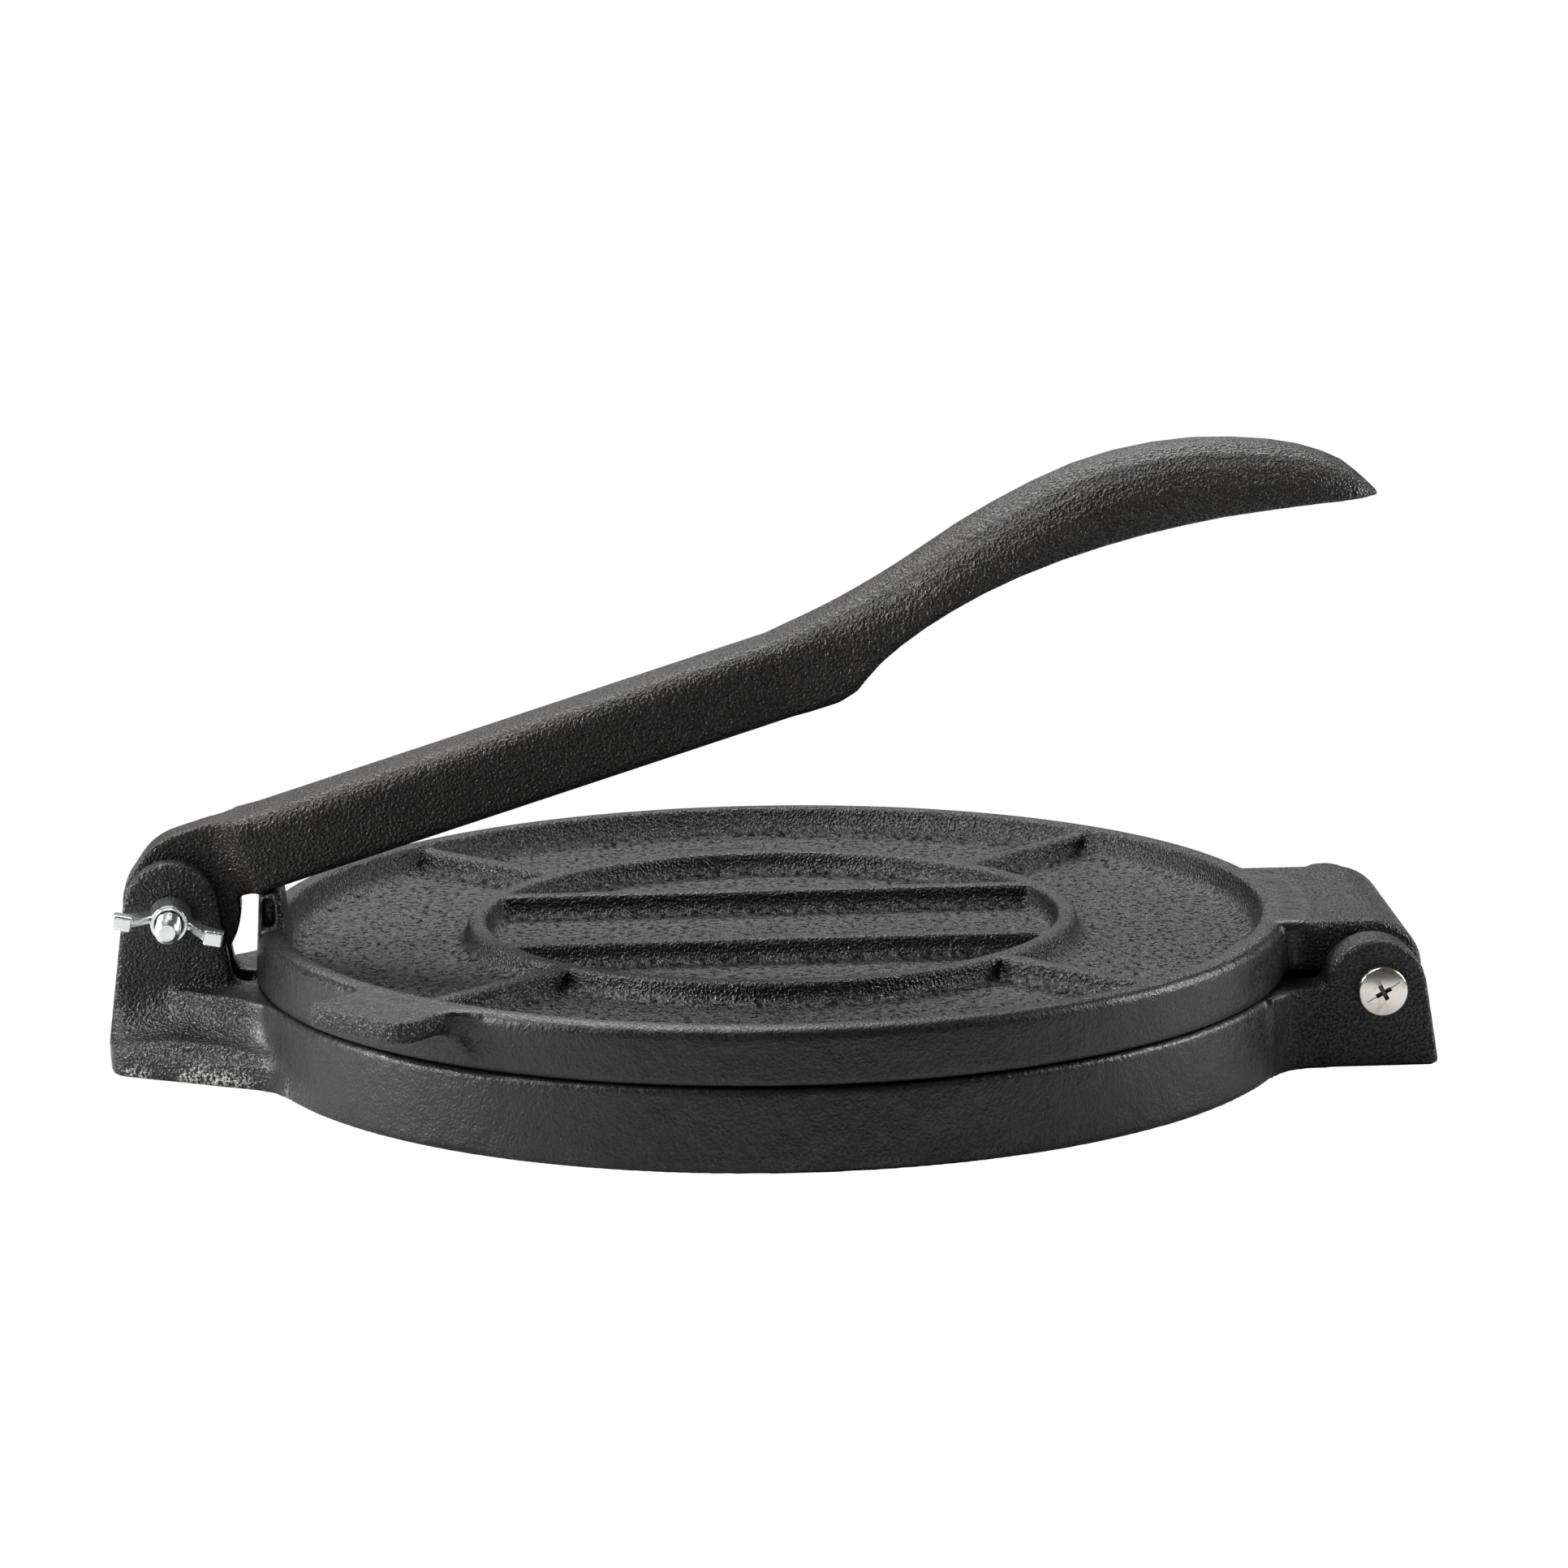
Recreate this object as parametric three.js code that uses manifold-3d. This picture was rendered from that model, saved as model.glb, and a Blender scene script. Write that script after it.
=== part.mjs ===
import * as THREE from "three";
import { mergeVertices } from "three/addons/utils/BufferGeometryUtils.js";
import Module from "manifold-3d";

const wasm = await Module();
wasm.setup();

// Sizes in millimetres. Places are taken from the middle of the plates at the table's level,
// with X from the lever's pivot to the lid's hinge and Z up. The whole press is set along X
// at the end, so that the origin lies under the middle of its length.

// Round plates
const plateRadius = 101.6;
const baseHeight = 15.6;
const baseGrowth = 1.35;
const baseFloor = 5.5;
const baseRimWidth = 5.4;
const baseRibShy = 2;
const lidHeight = 10.8;
const lidDraft = 0.6;
const lidFloor = 5.35;
const lidRimWidth = 4.9;
const rimEdge = 2;
const innerEdge = 1;
const baseRoot = 2.2;
const lidRoot = 4.4;
const smallEdge = 0.6;

// Ring and ribs on the back of each plate
const ringRadius = 58.1;
const ribHeight = 4.3;
const ribTopWidth = 3.8;
const ribOffset = 21.5;
const ribCove = 2.2;
const ribEdge = 0.7;
const ribDraftShare = 0.07;
const ribTurns = [45, 135, 225, 315];

// Lid hinge
const hingeDrop = 0.4;
const neckReach = 4.3;
const knuckleRadius = 9.6;
const knuckleHalf = 25.8;
const knuckleCorner = 9.8;
const knuckleEdge = 1.3;
const hingeSideGap = 0.9;
const hingeEarWidth = 9.3;
const hingeEarRadius = 9.9;
const hingeEarSet = 1;
const hingeEarWaist = 9.5;
const hingeEarDraft = 8.6;
const hingeFillet = 2.2;
const hingeEdge = 0.4;
const webGap = 1;
const shoulderFillet = 9;

// Stand for the lever
const pivotReach = 16;
const pivotRise = 3.15;
const standReach = 28.9;
const standBow = 1.1;
const standEndHalf = 17;
const standCorner = 4;
const standFlare = 27.4;
const standBlendRadius = 12;
const standFlange = 5.4;
const standInset = 1;
const ledgeStart = 17;
const ledgeFlare = 35;
const ledgeBlendRadius = 20;
const standBand = 2.4;
const slotWidth = 9;
const earWidth = 5.5;
const earRadius = 9.2;
const earLift = 1.4;
const earOuterDraft = 7.4;
const earInnerDraft = 9.2;
const earFillet = 2.6;
const earEdge = 0.5;

// Lever
const leverSlope = 17.3;
const tongueWidth = 8.4;
const tongueTop = 14.1;
const leverTop = 13.6;
const leverUnder = 1.65;
const eyeRadius = 13.5;
const eyeBack = 9.5;
const eyeRoot = 0.3;
const browSet = 1;
const browRadius = 12;
const napeRise = 4.6;
const barStart = 11.5;
const barShoulder = 5.5;
const barLength = 110;
const barWidth = 18;
const barEdge = 3.8;
const barLowEdge = 1.6;
const gripLength = 121.5;
const gripRise = 24.6;
const gripWidth = 26;
const gripShelf = 0.5;
const crownShare = 0.88;
const crownStart = 0.33;

// Lid's pad and lift tab
const padHalf = 10;
const padLength = 5.5;
const padEdge = 1.4;
const padRoot = 2.4;
const padDraft = 1.6;
const tabWidth = 26.6;
const tabReach = 13.9;
const tabThickness = 4.2;
const tabCorner = 3.6;
const tabFlare = 4;
const tabLean = 3.3;
const tabEdge = 0.6;
const tabTurn = -135.3;
const gussetFoot = 1.3;
const gussetSpread = 3.5;
const gussetReach = 1.7;

// Hinge screw, lever bolt and wing nuts
const shankRadius = 2.5;
const headRadius = 4.925;
const headHeight = 1.9;
const headDome = 1.2;
const boltTail = 8;
const boltChamfer = 0.8;
const nutHeight = 6.4;
const nutFootRadius = 4.3;
const nutCrownRadius = 3.6;
const wingSpan = 21.4;
const wingThickness = 1.6;
const wingRise = 8;
const wingWidth = 3.7;
const tipThickness = 2.9;
const tipDepth = 3.4;
const tipEdge = 0.4;
const wingRoot = 2.2;
const wingTurn = 11.3;

// Gap left wherever two pieces meet, and how far a cut or a joined piece runs on
const partGap = 0.3;
const overrun = 1.5;

// Counts of flat steps on round forms
const plateSteps = 60;
const ringSteps = 48;
const boreSteps = 20;
const filletSteps = 2;
const edgeSteps = 5;
const arcSteps = 10;
const gripSteps = 22;
const skirtSteps = 4;
const coveSteps = 4;

// Stations along the side of the stand's skirt, from the plate outwards
const bandShares = [0.3, 0.6, 0.85];

const radians = THREE.MathUtils.degToRad;
const mergeDistance = 1e-5;

// Derived places
const baseRadius = plateRadius + baseGrowth;
const lidUnder = baseHeight + partGap;
const lidTop = lidUnder + lidHeight;
const hingeX = plateRadius + neckReach + knuckleRadius;
const hingeZ = baseHeight - hingeDrop;
const hingeEarInner = knuckleHalf + hingeSideGap;
const hingeEarOuter = hingeEarInner + hingeEarWidth;
const pivotX = -(plateRadius + pivotReach);
const pivotZ = lidTop + pivotRise;
const earOuter = slotWidth / 2 + earWidth;
const boreRadius = shankRadius + partGap;

// A closed solid from a three.js geometry
function solid(geometry) {
  const bare = geometry.clone();
  bare.deleteAttribute("normal");
  bare.deleteAttribute("uv");
  const merged = mergeVertices(bare, mergeDistance);
  const corners = merged.index.array;
  const kept = [];
  for (let i = 0; i < corners.length; i += 3) {
    const [a, b, c] = corners.slice(i, i + 3);
    if (a !== b && b !== c && c !== a) kept.push(a, b, c);
  }
  return new wasm.Manifold(new wasm.Mesh({
    numProp: 3,
    vertProperties: new Float32Array(merged.attributes.position.array),
    triVerts: new Uint32Array(kept),
  }));
}

// A named mesh from a solid
function piece(name, body, material) {
  const { vertProperties, triVerts } = body.getMesh();
  const geometry = new THREE.BufferGeometry();
  geometry.setAttribute("position", new THREE.BufferAttribute(vertProperties, 3));
  geometry.setIndex(new THREE.BufferAttribute(triVerts, 1));
  geometry.computeVertexNormals();
  const mesh = new THREE.Mesh(geometry, material);
  mesh.name = name;
  return mesh;
}

function joined(solids) {
  return solids.reduce((whole, next) => whole.add(next));
}

// Points of an outline from corners of the form [x, y, radius]
function rounded(corners, steps = filletSteps) {
  return corners.flatMap(([x, y, radius], index) => {
    const here = new THREE.Vector2(x, y);
    if (!radius) return [here];
    const before = new THREE.Vector2(...corners.at(index - 1)).sub(here).normalize();
    const after = new THREE.Vector2(...corners[(index + 1) % corners.length]).sub(here).normalize();
    const half = Math.acos(before.dot(after)) / 2;
    const middle = before.clone().add(after).setLength(radius / Math.sin(half)).add(here);
    const run = radius / Math.tan(half);
    const start = before.multiplyScalar(run).add(here).sub(middle);
    const end = after.multiplyScalar(run).add(here).sub(middle);
    const turn = Math.atan2(start.cross(end), start.dot(end));
    return Array.from({ length: steps + 1 }, (_, step) =>
      start.clone().rotateAround(new THREE.Vector2(), (turn * step) / steps).add(middle));
  });
}

function arc(x, y, radius, from, to, steps = arcSteps) {
  return Array.from({ length: steps + 1 }, (_, step) => {
    const angle = radians(from + ((to - from) * step) / steps);
    return new THREE.Vector2(x + radius * Math.cos(angle), y + radius * Math.sin(angle));
  });
}

// The second half of a list of corners, mirrored in Y
function mirrored(corners) {
  const other = corners.map(([x, y, radius]) => [x, -y, radius]).reverse();
  return [...corners, ...other];
}

// A body turned about Z
function lathe(points, steps = plateSteps) {
  const profile = THREE.ShapeUtils.isClockWise(points) ? [...points].reverse() : points;
  const geometry = new THREE.LatheGeometry([...profile, profile[0]], steps);
  return geometry.rotateX(Math.PI / 2);
}

// A plan outline raised from one height to another
function slab(points, low, high, edge = 0) {
  const geometry = new THREE.ExtrudeGeometry(new THREE.Shape(points), {
    depth: high - low - 2 * edge,
    bevelEnabled: edge > 0,
    bevelThickness: edge,
    bevelSize: edge,
    bevelOffset: -edge,
    bevelSegments: filletSteps,
  });
  return geometry.translate(0, 0, low + edge);
}

// A side outline, seen along Y, spread across Y
function cheek(points, front, back, edge = 0) {
  return slab(points, -back, -front, edge).rotateX(Math.PI / 2);
}

// Rings of equal length joined into a closed skin; flatten gives an end ring's plan
function loft(rings, flatten) {
  const count = rings[0].length;
  const index = [];
  for (let i = 0; i + 1 < rings.length; i += 1) {
    for (let j = 0; j < count; j += 1) {
      const a = i * count + j;
      const b = i * count + ((j + 1) % count);
      index.push(a, b, b + count, a, b + count, a + count);
    }
  }
  const last = (rings.length - 1) * count;
  for (const [a, b, c] of THREE.ShapeUtils.triangulateShape(rings[0].map(flatten), [])) {
    index.push(a, c, b);
  }
  for (const [a, b, c] of THREE.ShapeUtils.triangulateShape(rings.at(-1).map(flatten), [])) {
    index.push(last + a, last + b, last + c);
  }
  const geometry = new THREE.BufferGeometry().setFromPoints(rings.flat());
  geometry.setIndex(index);
  return geometry;
}

function boreAcross(x, z, halfLength) {
  const geometry = new THREE.CylinderGeometry(boreRadius, boreRadius, 2 * halfLength, boreSteps);
  return solid(geometry.translate(x, 0, z));
}

// Section of a rib or the ring, around its middle line, with coves at the foot
function ribSection(height, middle = 0) {
  const top = ribTopWidth / 2;
  const foot = top + height * ribDraftShare;
  const wide = foot + ribCove;
  const corners = [
    [wide, 0, 0],
    [foot, 0, ribCove],
    [top, height, ribEdge],
  ];
  const left = corners.map(([x, y, radius]) => [-x, y, radius]).reverse();
  const sunk = [[-wide, -overrun, 0], [wide, -overrun, 0]];
  const points = rounded([...corners, ...left, ...sunk]);
  return points.map((point) => new THREE.Vector2(point.x + middle, point.y));
}

function rib(height, from, to) {
  const geometry = new THREE.ExtrudeGeometry(new THREE.Shape(ribSection(height)), {
    depth: to - from,
    bevelEnabled: false,
  });
  return geometry.translate(0, 0, from).rotateY(Math.PI / 2).rotateX(Math.PI / 2);
}

// Ring, two parallel ribs across it and four ribs out to the rim
function ribbing(height, rimInner) {
  const chord = Math.sqrt(ringRadius ** 2 - ribOffset ** 2);
  const across = [-1, 1].map((side) => rib(height, -chord, chord).translate(0, side * ribOffset, 0));
  const out = ribTurns.map((turn) => rib(height, ringRadius, rimInner + overrun).rotateZ(radians(turn)));
  return [lathe(ribSection(height, ringRadius), ringSteps), ...across, ...out];
}

// The dish cut in the back of a plate, up from its floor
function dish(floor, top, radius, draft, root) {
  return lathe(rounded([
    [0, floor, 0],
    [radius - draft, floor, root],
    [radius, top, innerEdge],
    [radius + 2 * innerEdge, top, 0],
    [radius + 2 * innerEdge, top + overrun, 0],
    [0, top + overrun, 0],
  ]));
}

function plateBody(profile) {
  return lathe([new THREE.Vector2(0, profile.at(-1).y), new THREE.Vector2(0, profile[0].y), ...profile]);
}

// Base plate, upside down dish with ring and ribs, flared to the table
const baseHollow = baseHeight - baseFloor;
const baseInner = baseRadius - baseRimWidth;
const baseDisc = solid(plateBody(rounded([
  [baseRadius - smallEdge, 0, 0],
  [baseRadius, smallEdge, 0],
  [plateRadius, baseHeight - smallEdge, 0],
  [plateRadius - smallEdge, baseHeight, 0],
])));

// Side outline of an ear whose round end sits on two leaning sides
function leaningEar(x, z, radius, leftLean, rightLean, steps = arcSteps) {
  return arc(x, z, radius, 180 - leftLean, rightLean, steps);
}

function downLine(point, lean, height) {
  return point.x + (point.y - height) * Math.tan(radians(lean));
}

const leverEarRound = leaningEar(pivotX, pivotZ + earLift, earRadius, earOuterDraft, earInnerDraft);
const standEndX = -(plateRadius + standReach);

// Where a straight side of a stand runs into a round wall, filleted tangent to both;
// the side starts at x, y and leans by the given angle from the X axis
function intoWall(x, y, lean, wallRadius, fillet) {
  const side = new THREE.Vector2(Math.cos(radians(lean)), Math.sin(radians(lean)));
  const start = new THREE.Vector2(x, y);
  const along = start.dot(side);
  const run = -along - Math.sqrt(along ** 2 - start.lengthSq() + wallRadius ** 2);
  const meeting = start.addScaledVector(side, run);
  const wall = new THREE.Vector2(meeting.y, -meeting.x).normalize();
  const bend = Math.acos(side.dot(wall));
  const reach = fillet * Math.tan(bend / 2) + overrun;
  const root = meeting.clone().rotateAround(new THREE.Vector2(), -reach / wallRadius);
  return [[root.x + overrun, root.y, 0], [root.x, root.y, 0], [meeting.x, meeting.y, fillet]];
}

// Plan of the stand's foot, drawn in by the given inset
function standPlan(inset) {
  const endX = standEndX + inset;
  const corner = [endX + standBow, standEndHalf - inset];
  return [
    ...intoWall(...corner, standFlare, baseRadius, standBlendRadius),
    [...corner, standCorner - inset],
    [endX, slotWidth / 2, 0],
  ];
}

// Plan of the ledge at the level of the base's top
const ledgeX = -(plateRadius + ledgeStart);
const ledgeY = earOuter + partGap;
function ledgePlan() {
  const endX = downLine(leverEarRound[0], -earOuterDraft, baseHeight) + earEdge;
  return [
    ...intoWall(ledgeX, ledgeY, ledgeFlare, plateRadius, ledgeBlendRadius),
    [endX, earOuter, standCorner / 4],
    [endX, slotWidth / 2, 0],
  ];
}

// One side of a plan as points, with stations between its blend and its corner
function withStations(plan, stations) {
  const [inside, root, blend, corner, end] = plan;
  const between = stations.map(([x, y]) => [x, y, 0]);
  return rounded([inside, root, blend, ...between, corner, end]).slice(0, -1);
}

// Hollow-sided skirt from a low band on the foot up to the ledge
function standSkirt() {
  const plan = standPlan(standInset);
  const [, , blend, corner, end] = plan;
  const lowStations = bandShares.map((share) => [
    THREE.MathUtils.lerp(blend[0], corner[0], share),
    THREE.MathUtils.lerp(blend[1], corner[1], share),
  ]);
  const ledge = ledgePlan();
  const highStations = [
    [(ledge[2][0] + ledgeX) / 2, (ledge[2][1] + ledgeY) / 2],
    [ledgeX, ledgeY],
    [lowStations[2][0], earOuter],
  ];
  const low = withStations(plan, lowStations);
  const high = withStations(ledge, highStations);
  const both = (half) => [...half, ...half.map((point) => new THREE.Vector2(point.x, -point.y)).reverse()];
  const foot = both(low);
  const top = both(high);
  const length = foot[1].x - end[0];
  const band = foot.map((point) => {
    const share = Math.min((point.x - end[0]) / length, 1);
    return standFlange + partGap + standBand * Math.sin(Math.PI * share);
  });
  const rings = Array.from({ length: skirtSteps + 1 }, (_, step) => foot.map((point, i) => {
    const turn = (Math.PI / 2) * (step / skirtSteps);
    const spot = point.clone().lerp(top[i], Math.sin(turn));
    return new THREE.Vector3(spot.x, spot.y, THREE.MathUtils.lerp(band[i], baseHeight, 1 - Math.cos(turn)));
  }));
  const sunk = foot.map((point) => new THREE.Vector3(point.x, point.y, standFlange / 2));
  return loft([sunk, ...rings], (point) => new THREE.Vector2(point.x, point.y));
}

function leverEarOutline() {
  const round = leverEarRound;
  const footZ = standFlange - innerEdge;
  const outerX = downLine(round[0], -earOuterDraft, footZ);
  const innerX = downLine(round.at(-1), earInnerDraft, baseHeight);
  const root = rounded([
    [round.at(-1).x, round.at(-1).y, 0],
    [innerX, baseHeight, earFillet],
    [-plateRadius + overrun, baseHeight, 0],
    [-plateRadius + overrun, footZ, 0],
    [outerX, footZ, 0],
  ]);
  return [...round, ...root.slice(1)];
}

function hingeEarOutline() {
  const x = hingeX - hingeEarSet;
  const waist = THREE.MathUtils.radToDeg(Math.acos(hingeEarWaist / hingeEarRadius));
  const round = arc(x, hingeZ, hingeEarRadius, hingeEarDraft, 180 - waist);
  const footX = downLine(round[0], hingeEarDraft, 0);
  const root = rounded([
    [round[0].x, round[0].y, 0],
    [x - hingeEarWaist, round.at(-1).y, 0],
    [x - hingeEarWaist, baseHeight, hingeFillet],
    [plateRadius - baseRimWidth, baseHeight, 0],
    [plateRadius - baseRimWidth, 0, 0],
    [footX, 0, innerEdge],
  ]);
  return [...round, ...root.slice(2)];
}

// Base with both stands
const leverEar = leverEarOutline();
const hingeEar = hingeEarOutline();
const hingeFootX = hingeX + hingeEarRadius;
const webTop = hingeZ - knuckleRadius - webGap;
const pocketX = hingeX - knuckleRadius - webGap;
const shoulderPlan = mirrored([
  ...intoWall(-pocketX, hingeEarOuter, 0, baseRadius, shoulderFillet),
  [-pocketX, hingeEarOuter, 0],
]).map(([x, y, radius]) => [-x, -y, radius]);
const webPlan = mirrored([
  [plateRadius - baseRimWidth, hingeEarInner + overrun, 0],
  [hingeFootX, hingeEarInner + overrun, 0],
]);

const slot = new THREE.BoxGeometry(standReach + neckReach, slotWidth, lidTop + pivotZ);
slot.translate(-plateRadius - (standReach + neckReach) / 2, 0, standFlange + (lidTop + pivotZ) / 2);

const leverStand = joined([
  solid(slab(rounded(mirrored(standPlan(0))), 0, standFlange, smallEdge)),
  solid(standSkirt()),
  ...[-1, 1].map((side) => {
    const inner = (side * slotWidth) / 2;
    const outer = side * earOuter;
    return solid(cheek(leverEar, Math.min(inner, outer), Math.max(inner, outer), earEdge));
  }),
]).subtract(solid(slot));

const hingeStand = joined([
  solid(slab(rounded(webPlan), 0, webTop)),
  solid(slab(rounded(shoulderPlan), 0, baseHeight)),
  ...[-1, 1].map((side) => {
    const inner = side * hingeEarInner;
    const outer = side * hingeEarOuter;
    return solid(cheek(hingeEar, Math.min(inner, outer), Math.max(inner, outer), hingeEdge));
  }),
]);

const baseRibs = ribbing(baseHollow - baseRibShy, baseInner).map((form) =>
  solid(form.rotateX(Math.PI).translate(0, 0, baseHollow)));
const baseDish = solid(dish(-baseHollow, 0, baseInner, smallEdge, baseRoot).rotateX(Math.PI));
const baseBody = joined([
  joined([baseDisc, leverStand, hingeStand]).subtract(baseDish),
  ...baseRibs,
]).subtract(boreAcross(hingeX, hingeZ, baseRadius)).subtract(boreAcross(pivotX, pivotZ, baseRadius));

// Lid plate, in its own frame with its underside at zero
const lidInner = plateRadius - lidDraft - lidRimWidth;
const lidProfile = rounded([
  [plateRadius - smallEdge, 0, 0],
  [plateRadius, smallEdge, 0],
  [plateRadius - lidDraft, lidHeight, rimEdge],
  [plateRadius / 2, lidHeight, 0],
]);
const lidDisc = solid(plateBody(lidProfile));

// Neck and knuckle, side outline in the lid's frame
const neckAxis = hingeZ - lidUnder;
const neckOutline = [
  new THREE.Vector2(hingeX - knuckleRadius, 0),
  ...arc(hingeX, neckAxis, knuckleRadius, -180, 0),
  ...arc(hingeX + knuckleRadius - knuckleCorner, lidHeight - knuckleCorner, knuckleCorner, 0, 90),
  new THREE.Vector2(plateRadius / 2, lidHeight),
  new THREE.Vector2(plateRadius / 2, 0),
];
const neck = solid(cheek(neckOutline, -knuckleHalf, knuckleHalf, knuckleEdge));

// Pad under the lever's bar, its top parallel to the bar
function underLever(x) {
  const slope = radians(leverSlope);
  const drop = (leverUnder + partGap) / Math.cos(slope);
  return pivotZ - drop + (x - pivotX) * Math.tan(slope) - lidUnder;
}
const padOuterX = -plateRadius - overrun;
const padInnerX = -plateRadius + padLength;
const padOutline = rounded([
  [padOuterX, lidFloor / 2, 0],
  [padInnerX + 2 * padRoot, lidFloor / 2, 0],
  [padInnerX + 2 * padRoot, lidFloor, 0],
  [padInnerX + padDraft, lidFloor, padRoot],
  [padInnerX, underLever(padInnerX), padEdge],
  [padOuterX, underLever(padOuterX), 0],
]);
const padTop = underLever(padInnerX);
const padBound = lathe([
  new THREE.Vector2(0, 0),
  new THREE.Vector2(plateRadius, 0),
  new THREE.Vector2(plateRadius - (lidDraft * padTop) / lidHeight, padTop),
  new THREE.Vector2(0, padTop),
]);
const pad = solid(cheek(padOutline, -padHalf, padHalf, innerEdge)).intersect(solid(padBound));

// Lift tab with its gusset
const tabHalf = tabWidth / 2;
const tabOuter = plateRadius + tabReach;
const tabRoot = Math.sqrt((plateRadius - lidDraft) ** 2 - tabHalf ** 2);
const tabPlan = rounded(mirrored([
  ...intoWall(-tabOuter, tabHalf, -tabLean, plateRadius - lidDraft, tabFlare),
  [-tabOuter, tabHalf, tabCorner],
]).map(([x, y, radius]) => [-x, -y, radius]));
const tabTop = lidHeight;
const tab = solid(slab(tabPlan, tabTop - tabThickness, tabTop, tabEdge).rotateZ(radians(tabTurn)));
const gussetRoot = tabTop - tabThickness + tabEdge;
const gusset = solid(loft([1, -1].map((side) => [
  [tabRoot - overrun, tabHalf + gussetSpread, gussetFoot],
  [tabRoot + partGap, tabHalf + gussetSpread, gussetFoot],
  [tabRoot + gussetReach, tabHalf, gussetRoot],
  [tabRoot - overrun, tabHalf, gussetRoot],
].map(([x, y, z]) => new THREE.Vector3(x, side * y, z))),
(point) => new THREE.Vector2(point.x, point.z)).rotateZ(radians(tabTurn)));

const lidDish = solid(dish(lidFloor, lidHeight, lidInner, smallEdge, lidRoot));
const lidRibs = ribbing(ribHeight, lidInner).map((form) => solid(form.translate(0, 0, lidFloor)));
const lidBody = joined([
  joined([lidDisc, neck, tab, gusset]).subtract(lidDish),
  ...lidRibs,
  pad,
]).subtract(boreAcross(hingeX, neckAxis, baseRadius));

// Lever in its own frame: pivot at the origin, X along the bar
const turnBack = radians(-leverSlope);
function levelled(x, z, radius) {
  const spot = new THREE.Vector2(x, z).rotateAround(new THREE.Vector2(), turnBack);
  return [spot.x, spot.y, radius];
}
const tongueEnd = barStart + overrun;
const eyeTurn = THREE.MathUtils.radToDeg(Math.asin((leverUnder + eyeRoot) / eyeRadius));
const eyeArc = arc(0, 0, eyeRadius, -90 - leverSlope, -eyeTurn);
const tongueOutline = [
  ...rounded([
    [tongueEnd, tongueTop - innerEdge, 0],
    [tongueEnd, tongueTop, 0],
    [browSet, tongueTop, browRadius],
    levelled(-eyeBack, napeRise, eyeBack),
    levelled(-eyeBack, -eyeRadius, eyeBack),
    levelled(0, -eyeRadius, 0),
  ], edgeSteps).slice(1, -1),
  ...eyeArc,
  new THREE.Vector2(tongueEnd, -leverUnder),
];
const tongue = solid(cheek(tongueOutline, -tongueWidth / 2, tongueWidth / 2));

// Section of the bar and grip between a lower and an upper point
function leverSection(under, top, halfWidth, topEdge, lowEdge) {
  const height = Math.max(top.y - under.y, gripShelf);
  const points = rounded([
    [-halfWidth, 0, lowEdge],
    [halfWidth, 0, lowEdge],
    [halfWidth, height, topEdge],
    [-halfWidth, height, topEdge],
  ], edgeSteps);
  return points.map((point) => {
    const along = THREE.MathUtils.lerp(under.x, top.x, point.y / height);
    return new THREE.Vector3(along, point.x, under.y + point.y);
  });
}

// Shares of the grip's length, rise and width at its stations:
// top along, top up, underside along, underside up, width
const gripShares = [
  [0, 0, 0, 0, 0.69],
  [0.09, 0.055, 0.095, 0.01, 0.78],
  [0.16, 0.13, 0.16, 0.2, 0.87],
  [0.26, 0.255, 0.26, 0.39, 0.95],
  [0.4, 0.44, 0.4, 0.52, 1],
  [0.57, 0.55, 0.57, 0.54, 1],
  [0.73, 0.465, 0.73, 0.475, 1],
  [0.87, 0.22, 0.87, 0.36, 1],
  [0.96, -0.08, 0.955, 0.265, 0.9],
  [1, -0.36, 1, 0.22, 0.66],
];
const gripStart = barStart + barShoulder + barLength;
const topLine = new THREE.SplineCurve(gripShares.map(([along, up]) =>
  new THREE.Vector2(gripStart + along * gripLength, leverTop + up * gripRise)));
const underLine = new THREE.SplineCurve(gripShares.map(([, , along, up]) =>
  new THREE.Vector2(gripStart + along * gripLength, up * gripRise - leverUnder)));
const widthLine = new THREE.SplineCurve(gripShares.map(([along, , , , wide]) =>
  new THREE.Vector2(along * gripLength, (wide * gripWidth) / 2)));

// Cove from the tongue out to the full width of the bar
const leverRings = Array.from({ length: coveSteps + 1 }, (_, step) => {
  const share = step / coveSteps;
  const turn = (Math.PI / 2) * share;
  const along = barStart + barShoulder * Math.sin(turn);
  const halfWidth = THREE.MathUtils.lerp(tongueWidth, barWidth, 1 - Math.cos(turn)) / 2;
  const under = new THREE.Vector2(along, -leverUnder);
  const top = new THREE.Vector2(along, THREE.MathUtils.lerp(tongueTop, leverTop, share));
  const topEdge = THREE.MathUtils.lerp(smallEdge, barEdge / 2, share);
  return leverSection(under, top, halfWidth, topEdge, smallEdge);
});
const barFull = barStart + 2 * barShoulder;
leverRings.push(leverSection(
  new THREE.Vector2(barFull, -leverUnder),
  new THREE.Vector2(barFull, leverTop),
  barWidth / 2,
  barEdge,
  barLowEdge,
));
for (let step = 0; step <= gripSteps; step += 1) {
  const share = step / gripSteps;
  const under = underLine.getPoint(share);
  const top = topLine.getPoint(share);
  const height = Math.max(top.y - under.y, gripShelf);
  const halfWidth = widthLine.getPoint(share).y;
  const blend = THREE.MathUtils.smoothstep(share, 0, crownStart);
  const round = THREE.MathUtils.lerp(barEdge, halfWidth * crownShare, blend);
  const topEdge = Math.min(round, height * crownShare);
  const lowEdge = Math.min(barLowEdge, (height - topEdge) / 2);
  leverRings.push(leverSection(under, top, halfWidth, topEdge, lowEdge));
}
const leverSkin = loft(leverRings, (point) => new THREE.Vector2(point.y, point.z));
const leverBody = joined([solid(leverSkin), tongue]).subtract(boreAcross(0, 0, barWidth));

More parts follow.
